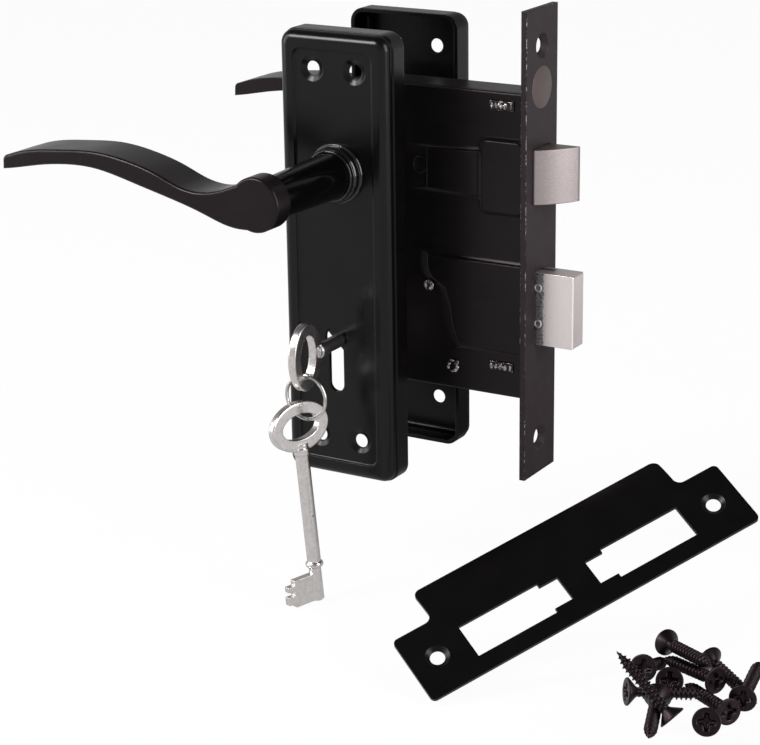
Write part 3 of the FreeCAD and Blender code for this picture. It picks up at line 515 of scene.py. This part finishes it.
def growTree(name, sockets):
    # a tree that works on loose points, with its inputs under these names
    tree = bpy.data.node_groups.new(name, "GeometryNodeTree")
    for socket, kind in {"Geometry": "Geometry", **sockets}.items():
        tree.interface.new_socket(socket, in_out="INPUT", socket_type="NodeSocket" + kind)
    tree.interface.new_socket("Geometry", in_out="OUTPUT", socket_type="NodeSocketGeometry")
    inputs = addNode(tree, "NodeGroupInput").outputs
    return tree, inputs, addNode(tree, "GeometryNodeMeshToPoints", inputs={"Mesh": inputs["Geometry"]})


def endTree(tree, shape, finish):
    painted = addNode(tree, "GeometryNodeSetMaterial", inputs={"Geometry": shape, "Material": finish})
    addNode(tree, "NodeGroupOutput", inputs={"Geometry": painted})
    return tree


def grown(name, spots, vectorName, vectors, tree, inputs, body):
    # runs a node tree on loose points and keeps its result as a plain mesh
    mesh = bpy.data.meshes.new("points")
    mesh.from_pydata([tuple(Vector(spot) * mm) for spot in spots], [], [])
    layer = mesh.attributes.new(vectorName, "FLOAT_VECTOR", "POINT")
    for index, vector in enumerate(vectors):
        layer.data[index].vector = vector
    holder = bpy.data.objects.new("holder", mesh)
    bpy.context.scene.collection.objects.link(holder)
    modifier = holder.modifiers.new("grow", "NODES")
    modifier.node_group = tree
    sockets = {item.name: item.identifier for item in tree.interface.items_tree if item.in_out == "INPUT"}
    for key, value in inputs.items():
        modifier[sockets[key]] = value
    result = bpy.data.meshes.new_from_object(holder.evaluated_get(bpy.context.evaluated_depsgraph_get()))
    for face in result.polygons:
        face.use_smooth = True
    bpy.data.objects.remove(holder)
    return placed(name, result, body)


# Wood screws: real thread, countersunk head and cross recess, laid in the pile

screwSizes = {
    "length": 25.0,
    "headR": 4.2,
    "rimDrop": 0.12,
    "rimHeight": 0.5,
    "headDepth": 2.8,
    "neckR": 1.75,
    "neckEnd": 3.4,
    "threadFrom": 3.6,
    "coreR": 1.4,
    "threadR": 2.1,
    "threadWide": 0.28,
    "threadGrows": 8,
    "threadShrinks": 1.6,
    "pitch": 1.45,
    "pointLength": 5.0,
    "pointR": 0.06,
    "recessHalf": 0.62,
    "recessReach": 2.5,
    "recessDepth": 1.8,
    "recessWall": 0.22,
    "recessEnd": 0.5,
    "recessHub": (1.3, 0.3),
    "recessSlope": 0.25,
    "headRings": (0.02, 0.3, 0.6, 0.8, 1.0, 1.2, 1.4, 1.6, 1.8, 2.0, 2.2, 2.4, 2.6, 2.8, 3.2, 3.7),
    "around": 36,
    "steps": 170,
}


def screwMesh():
    s = screwSizes
    around = s["around"]
    vertices = []
    faces = []
    rings = []

    def addRing(radiusAt, heightAt):
        rings.append(len(vertices))
        for k in range(around):
            angle = 2 * math.pi * k / around
            r = radiusAt(angle)
            vertices.append((r * math.cos(angle) * mm, r * math.sin(angle) * mm, heightAt(angle, r) * mm))

    def flatRing(radius, height):
        addRing(lambda angle: radius, lambda angle, r: height)

    def recess(angle, r):
        # depth of the cross under the head's top: two slots and a round hub, with steep walls
        x = abs(r * math.cos(angle))
        y = abs(r * math.sin(angle))
        hubR, hubWall = s["recessHub"]
        slot = max(min((s["recessHalf"] - y) / s["recessWall"], (s["recessReach"] - x) / s["recessEnd"]),
                   min((s["recessHalf"] - x) / s["recessWall"], (s["recessReach"] - y) / s["recessEnd"]),
                   (hubR - r) / hubWall)
        depth = max(0.0, min(1.0, slot + 0.5))
        return -s["recessDepth"] * depth * (1.0 - s["recessSlope"] * r / s["recessReach"])

    def threadRing(step):
        z = -s["threadFrom"] - (s["length"] - s["threadFrom"]) * step / s["steps"]
        taper = min(1.0, (s["length"] + z) / s["pointLength"])
        grow = min(1.0, step / s["threadGrows"])

        def radius(angle):
            phase = (-z / s["pitch"] + angle / (2 * math.pi)) % 1.0
            crest = max(0.0, 1 - abs(phase - 0.5) / s["threadWide"])
            thread = (s["threadR"] - s["coreR"]) * crest * grow * min(1.0, taper * s["threadShrinks"])
            return s["pointR"] + (s["coreR"] - s["pointR"]) * taper + thread

        addRing(radius, lambda angle, r: z)

    for radius in (*s["headRings"], s["headR"] - s["rimDrop"]):
        addRing(lambda angle: radius, recess)
    flatRing(s["headR"], -s["rimDrop"])
    flatRing(s["headR"], -s["rimHeight"])
    flatRing(s["neckR"], -s["headDepth"])
    flatRing(s["coreR"], -s["neckEnd"])
    for step in range(s["steps"] + 1):
        threadRing(step)
    for a, b in zip(rings, rings[1:]):
        for k in range(around):
            n = (k + 1) % around
            faces.append((a + k, a + n, b + n, b + k))
    faces.append(tuple(range(rings[0] + around - 1, rings[0] - 1, -1)))
    faces.append(tuple(range(rings[-1], rings[-1] + around)))
    return cleanMesh("threadedScrew", vertices, faces, merge=False)


# The same pile as in the solids: head centre, then point, in screw lengths from the pile's middle
pileMiddle = (90.0, -80.0, -113.1)
screwPile = [
    ((-0.630, 0.828, 0.389), (0.208, 0.290, 0.481)),
    ((-0.016, 0.736, 0.341), (0.823, 0.228, 0.145)),
    ((0.295, 0.235, 0.324), (-0.599, 0.676, 0.247)),
    ((-0.103, -0.254, 0.430), (-0.440, 0.611, 0.057)),
    ((-0.451, -0.725, 0.410), (0.328, -0.108, 0.296)),
    ((0.291, -1.046, 0.376), (-0.440, -1.037, 1.059)),
    ((0.729, -1.093, 0.453), (0.418, -0.216, 0.085)),
    ((0.661, -0.248, 0.202), (-0.155, 0.327, 0.138)),
    ((0.766, -0.099, 0.333), (0.594, 0.885, 0.372)),
    ((-0.093, -0.610, 0.394), (0.221, -1.557, 0.325)),
    ((-0.571, 0.018, 0.382), (-0.697, 0.955, 0.054)),
]


def pileTree():
    # each point carries one screw, turned by its own vector
    tree, inputs, points = growTree("screwPile", {"Screw": "Object", "Size": "Float", "Finish": "Material"})
    turn = addNode(tree, "GeometryNodeInputNamedAttribute", {"data_type": "FLOAT_VECTOR"}, {"Name": "turn"})
    rotation = addNode(tree, "FunctionNodeEulerToRotation", inputs={"Euler": turn})
    source = addNode(tree, "GeometryNodeObjectInfo", inputs={"Object": inputs["Screw"]})
    screws = addNode(tree, "GeometryNodeInstanceOnPoints", inputs={
        "Points": points, "Instance": source.outputs["Geometry"], "Rotation": rotation,
        "Scale": inputs["Size"]})
    shape = addNode(tree, "GeometryNodeRealizeInstances", inputs={"Geometry": screws})
    return endTree(tree, shape, inputs["Finish"])


def buildPile():
    source = bpy.data.objects.new("screwSource", screwMesh())
    bpy.context.scene.collection.objects.link(source)
    spots = []
    turns = []
    for head, point in screwPile:
        spots.append(Vector(pileMiddle) + Vector(head) * screwSizes["length"])
        aim = (Vector(point) - Vector(head)).normalized()
        turns.append(aim.to_track_quat("-Z", "Y").to_euler())
    pile = grown("threadedScrews", spots, "turn", turns, pileTree(),
                 {"Screw": source, "Size": 1.0, "Finish": screwBlack}, "lock_case")
    bpy.data.objects.remove(source)
    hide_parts("wood_screws")


buildPile()
print("screws laid")

# Marks of the staking punch: torn bright lumps on the two lugs and round the lower post

stakeSizes = {
    "face": -7.0,
    "sunk": 0.25,
    "flat": 0.35,
    "lugX": -10.9,
    "lugHeights": (47.5, -41.5),
    "lugLumps": ((-3.7, 0.5, 1.3), (-2.1, 0.8, 0.9), (-0.5, 0.9, 1.2), (1.3, 0.9, 1.1), (3.4, 0.5, 1.3)),
    "postX": -29.3,
    "postZ": -44.0,
    "postLumps": 7,
    "postRing": (1.5, 2.3),
    "postLumpSize": (0.5, 0.9),
    "astray": 0.2,
    "seed": 7,
    "torn": 0.55,
    "tearDepth": 2.2,
    "tearScale": 1100.0,
    "finer": 4,
}


def lumpTree():
    # a lump on each point, sized by its own vector and torn by a fixed noise
    s = stakeSizes
    tree, inputs, points = growTree("tornLumps", {"Torn": "Float", "Finish": "Material"})
    lump = addNode(tree, "GeometryNodeMeshIcoSphere", inputs={"Radius": mm, "Subdivisions": s["finer"]})
    size = addNode(tree, "GeometryNodeInputNamedAttribute", {"data_type": "FLOAT_VECTOR"}, {"Name": "size"})
    lumps = addNode(tree, "GeometryNodeInstanceOnPoints", inputs={
        "Points": points, "Instance": lump, "Scale": size})
    shape = addNode(tree, "GeometryNodeRealizeInstances", inputs={"Geometry": lumps})
    ragged = addNode(tree, "ShaderNodeTexNoise", inputs={"Scale": s["tearScale"], "Detail": 2.0})
    centred = addNode(tree, "ShaderNodeVectorMath", {"operation": "SUBTRACT"}, {
        0: ragged.outputs["Color"], 1: (0.5, 0.5, 0.5)})
    torn = addNode(tree, "ShaderNodeVectorMath", {"operation": "SCALE"}, {
        0: centred, "Scale": inputs["Torn"]})
    offset = addNode(tree, "ShaderNodeVectorMath", {"operation": "SCALE"}, {
        0: torn, "Scale": s["tearDepth"] * mm})
    moved = addNode(tree, "GeometryNodeSetPosition", inputs={"Geometry": shape, "Offset": offset})
    return endTree(tree, moved, inputs["Finish"])


def buildStakes():
    s = stakeSizes
    draw = random.Random(s["seed"])
    spots = []
    sizes = []
    y = s["face"] - s["sunk"]
    for z in s["lugHeights"]:
        for dx, wide, tall in s["lugLumps"]:
            spots.append((s["lugX"] + dx, y, z + draw.uniform(-s["astray"], s["astray"])))
            sizes.append((wide, s["flat"], tall))
    for k in range(s["postLumps"]):
        angle = 2 * math.pi * k / s["postLumps"] + draw.uniform(-s["astray"], s["astray"])
        r = draw.uniform(*s["postRing"])
        spots.append((s["postX"] + r * math.cos(angle), y, s["postZ"] + r * math.sin(angle)))
        sizes.append((draw.uniform(*s["postLumpSize"]), s["flat"], draw.uniform(*s["postLumpSize"])))
    grown("stakeMarks", spots, "size", sizes, lumpTree(), {"Torn": s["torn"], "Finish": stakedSteel},
          "lock_case")


buildStakes()
print("stakes set")

# Peened ends seen as rings: the guide pin, the latch post and the two rivets of the deadbolt

ringSizes = {
    "pin": {"centre": (-38.7, -7.3, -16.7), "inner": 1.0, "outer": 1.9, "height": 0.35},
    "post": {"centre": (-41.6, -7.0, 24.8), "inner": 2.3, "outer": 3.1, "height": 0.4},
    "upperRivet": {"centre": (1.0, -4.03, -13.2), "inner": 0.8, "outer": 1.6, "height": 0.2},
    "lowerRivet": {"centre": (1.0, -4.03, -25.6), "inner": 0.8, "outer": 1.6, "height": 0.2},
    "hollow": 0.02,
    "lip": 0.08,
    "crownHalf": 0.1,
    "shoulder": 0.08,
    "shoulderShare": 0.4,
    "sunk": 0.05,
}


def peenRing(name, s, material, body):
    r = ringSizes
    inner, outer, height = s["inner"], s["outer"], s["height"]
    middle = (inner + outer) / 2
    profile = [(inner * 0.2, r["hollow"]), (inner * 0.8, r["hollow"]), (inner, r["lip"]),
               (middle - r["crownHalf"], height), (middle + r["crownHalf"], height),
               (outer - r["shoulder"], r["shoulderShare"] * height), (outer, -r["sunk"])]
    revolved(name, profile, s["centre"], (0, -1, 0), material, body)


peenRing("guidePinPeen", ringSizes["pin"], stakedSteel, "lock_case")
peenRing("latchPostPeen", ringSizes["post"], casePaintBlack, "lock_case")
peenRing("boltRivetPeen1", ringSizes["upperRivet"], boltZinc, "deadbolt")
peenRing("boltRivetPeen2", ringSizes["lowerRivet"], boltZinc, "deadbolt")
print("peened rings set")

# Rough as-cast band of the deadbolt next to the forend

bandSizes = {
    "fromX": 0.05,
    "toX": 3.2,
    "face": -4.0,
    "lowZ": -32.9,
    "highZ": -8.1,
    "proud": 0.05,
    "rough": 0.05,
    "rimSunk": 0.02,
    "ragged": (-0.35, 0.25),
    "columns": 16,
    "rows": 90,
    "seed": 3,
}


def boltBand():
    b = bandSizes
    columns, rows = b["columns"], b["rows"]
    draw = random.Random(b["seed"])
    vertices = []
    faces = []
    for j in range(rows + 1):
        z = b["lowZ"] + (b["highZ"] - b["lowZ"]) * j / rows
        ragged = draw.uniform(*b["ragged"])
        for i in range(columns + 1):
            x = b["fromX"] + (b["toX"] + ragged - b["fromX"]) * i / columns
            inner = 0 < i < columns and 0 < j < rows
            lift = b["proud"] + draw.uniform(0.0, b["rough"]) if inner else -b["rimSunk"]
            vertices.append((x * mm, (b["face"] - lift) * mm, z * mm))
    for j in range(rows):
        for i in range(columns):
            a = j * (columns + 1) + i
            faces.append((a, a + 1, a + columns + 2, a + columns + 1))
    meshPiece("boltRoughBand", vertices, faces, boltRough, "deadbolt")


boltBand()
print("bolt band set")

# The two coil springs in the case stay with it, wound as they rest

coilSizes = {
    "latch": {"from": -38.6, "to": -12.1, "height": 24.5, "radius": 3.0, "wire": 0.3, "turns": 9,
              "keep": 0.57},
    "return": {"from": -36.4, "to": -54.8, "height": 14.0, "radius": 2.15, "wire": 0.25, "turns": 8,
               "keep": 0.54},
    "stepsInTurn": 20,
    "sides": 8,
}


def coil(name, s, node):
    # a wire of round section wound about the bolt's direction, its fixed end first
    steps, sides = s["turns"] * coilSizes["stepsInTurn"], coilSizes["sides"]
    forward = 1 if s["to"] > s["from"] else -1
    start, end = s["from"] + forward * s["wire"], s["to"] - forward * s["wire"]
    vertices = []
    for step in range(steps + 1):
        turn = 2 * math.pi * step / coilSizes["stepsInTurn"]
        along = start + (end - start) * step / steps
        for side in range(sides):
            section = 2 * math.pi * side / sides
            out = s["radius"] + s["wire"] * math.cos(section)
            vertices.append(Vector((along + s["wire"] * math.sin(section), out * math.cos(turn),
                                    s["height"] + out * math.sin(turn))) * mm)
    faces = []
    for step in range(steps):
        here, there = step * sides, (step + 1) * sides
        for side in range(sides):
            beside = (side + 1) % sides
            faces.append((here + side, here + beside, there + beside, there + side))
    faces.append(tuple(range(sides)))
    faces.append(tuple(range(steps * sides, (steps + 1) * sides)))
    piece = meshPiece(name, vertices, faces, springSteel, "lock_case")
    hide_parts(node)
    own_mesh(piece)


coil("latchCoil", coilSizes["latch"], "latch_spring")
coil("returnCoil", coilSizes["return"], "follower_spring")
print("coil springs wound")

# Plain disc let into the forend above the latch

discSizes = {
    "radius": 7.0,
    "centreZ": 53.4,
    "stand": 0.12,
    "sunk": 0.2,
    "edge": (0.25, 0.02),
    "around": 64,
}


def forendDisc():
    d = discSizes
    edgeWide, edgeHigh = d["edge"]
    profile = [(0.0, d["stand"]), (d["radius"] - edgeWide, d["stand"]), (d["radius"], edgeHigh),
               (d["radius"], -d["sunk"]), (0.0, -d["sunk"])]
    revolved("forendDisc", profile, (0, 0, d["centreZ"]), (1, 0, 0), discPlain, "lock_case",
             d["around"])


forendDisc()
print("disc set")

# Floor, light and camera. Places are in metres, and floorZ is in mm

# what gloss mirrors is dimmer than the white that the camera sees
stageSizes = {
    "floorZ": -116.9,
    "reach": 4.0,
    "paper": 0.86,
    "floorSeen": 0.95,
    "floorMirrored": 0.74,
    # painted shadow: in reflections the floor turns dark round a spot under the lock, where its shade would
    # fall
    "paintedShadowMirrored": 0.12,
    "paintedShadowSpot": (0.0, 0.17),
    "paintedShadowWithin": 0.06,
    "brightBeyond": 0.28,
    "aroundColour": (0.9, 0.9, 0.92, 1),
    "aroundLight": 0.35,
    "horizonMirrored": 0.52,
    "aboveMirrored": 0.12,
    "horizonBottom": 0.05,
    "horizonTop": 0.9,
}


def rays(tree):
    # whether the ray comes from the camera, and whether it comes by a mirror or through glass
    path = addNode(tree, "ShaderNodeLightPath").outputs
    mirrored = addNode(tree, "ShaderNodeMath", {"operation": "MAXIMUM"}, {
        0: path["Is Glossy Ray"], 1: path["Is Transmission Ray"]})
    return path["Is Camera Ray"], mirrored


def buildFloor():
    s = stageSizes
    r = s["reach"]
    z = s["floorZ"] * mm
    mesh = bpy.data.meshes.new("floor")
    mesh.from_pydata([(-r, -r, z), (r, -r, z), (r, r, z), (-r, r, z)], [], [(0, 1, 2, 3)])
    material, tree, coords = newMaterial("paleFloor")
    seen, mirrored = rays(tree)
    plain = addNode(tree, "ShaderNodeMath", {"operation": "SUBTRACT"}, {0: 1.0, 1: mirrored})
    shade = addNode(tree, "ShaderNodeMath", {"operation": "MULTIPLY"}, {0: plain, 1: s["paper"]})
    paper = addNode(tree, "ShaderNodeBsdfDiffuse", inputs={"Color": shade})
    glow = addNode(tree, "ShaderNodeEmission", inputs={"Color": (1, 1, 1, 1), "Strength": 1.0})
    # painted shadow in reflections: the floor's glow seen in gloss fades dark round the spot under the lock
    away = addNode(tree, "ShaderNodeVectorMath", {"operation": "DISTANCE"}, {
        0: coords, 1: (*s["paintedShadowSpot"], z)})
    glowInGloss = addNode(tree, "ShaderNodeMapRange", {"interpolation_type": "SMOOTHSTEP"}, {
        "Value": away.outputs["Value"], "From Min": s["paintedShadowWithin"], "From Max": s["brightBeyond"],
        "To Min": s["paintedShadowMirrored"], "To Max": s["floorMirrored"]})
    toCamera = addNode(tree, "ShaderNodeMath", {"operation": "MULTIPLY"}, {0: seen, 1: s["floorSeen"]})
    toMirror = addNode(tree, "ShaderNodeMath", {"operation": "MULTIPLY"}, {0: mirrored, 1: glowInGloss})
    glowing = addNode(tree, "ShaderNodeMath", {"operation": "MAXIMUM"}, {0: toCamera, 1: toMirror})
    shown = addNode(tree, "ShaderNodeMixShader", inputs={"Fac": glowing, 1: paper, 2: glow})
    addNode(tree, "ShaderNodeOutputMaterial", inputs={"Surface": shown})
    mesh.materials.append(material)
    floor = bpy.data.objects.new("floor", mesh)
    bpy.context.scene.collection.objects.link(floor)


def buildWorld():
    s = stageSizes
    world = bpy.data.worlds.new("studio")
    bpy.context.scene.world = world
    world.use_nodes = True
    tree = world.node_tree
    tree.nodes.clear()
    seen, mirrored = rays(tree)
    direction = addNode(tree, "ShaderNodeTexCoord").outputs["Generated"]
    parts = addNode(tree, "ShaderNodeSeparateXYZ", inputs={"Vector": direction})
    cove = addNode(tree, "ShaderNodeMapRange", {"interpolation_type": "SMOOTHSTEP"}, {
        "Value": parts.outputs["Z"], "From Min": s["horizonBottom"], "From Max": s["horizonTop"],
        "To Min": s["horizonMirrored"], "To Max": s["aboveMirrored"]})
    dim = addNode(tree, "ShaderNodeBackground", inputs={
        "Color": s["aroundColour"], "Strength": s["aroundLight"]})
    glowInGloss = addNode(tree, "ShaderNodeBackground", inputs={"Color": (1, 1, 1, 1), "Strength": cove})
    white = addNode(tree, "ShaderNodeBackground", inputs={"Color": (1, 1, 1, 1), "Strength": 1.0})
    unseen = addNode(tree, "ShaderNodeMixShader", inputs={"Fac": mirrored, 1: dim, 2: glowInGloss})
    shown = addNode(tree, "ShaderNodeMixShader", inputs={"Fac": seen, 1: unseen, 2: white})
    addNode(tree, "ShaderNodeOutputWorld", inputs={"Surface": shown})


lampSizes = {
    "highBox": {"place": (-0.55, -0.76, 0.66), "target": (-0.03, -0.02, 0), "size": (0.42, 0.34), "power": 9},
    "leftBox": {"place": (-0.95, -0.55, 0.25), "target": (-0.03, -0.03, 0), "size": (0.5, 0.9), "power": 6},
    "rightBox": {"place": (0.95, -0.15, 0.35), "target": (-0.03, 0, 0), "size": (0.5, 0.9), "power": 9},
}


def softBox(name, s):
    lamp = bpy.data.lights.new(name, "AREA")
    lamp.shape = "RECTANGLE"
    lamp.size, lamp.size_y = s["size"]
    lamp.energy = s["power"]
    holder = bpy.data.objects.new(name, lamp)
    bpy.context.scene.collection.objects.link(holder)
    holder.location = s["place"]
    holder.rotation_euler = (Vector(s["target"]) - Vector(s["place"])).to_track_quat("-Z", "Y").to_euler()


cameraSizes = {
    "place": (0.344304, -0.681644, 0.203855),
    "turn": (72.02824, 0.78951, 30.59391),  # degrees
    "lens": 112.47,
    "sensor": 36,
    "clip": (0.01, 20),
}


def buildCamera():
    c = cameraSizes
    camera = bpy.data.cameras.new("camera")
    camera.sensor_width = c["sensor"]
    camera.lens = c["lens"]
    camera.clip_start, camera.clip_end = c["clip"]
    holder = bpy.data.objects.new("camera", camera)
    bpy.context.scene.collection.objects.link(holder)
    turn = Euler([math.radians(angle) for angle in c["turn"]])
    holder.matrix_world = Matrix.Translation(c["place"]) @ turn.to_matrix().to_4x4()
    bpy.context.scene.camera = holder


buildFloor()
buildWorld()
for name, sizes in lampSizes.items():
    softBox(name, sizes)
buildCamera()
bpy.context.scene.view_settings.view_transform = "Standard"
print("stage, light and camera set")
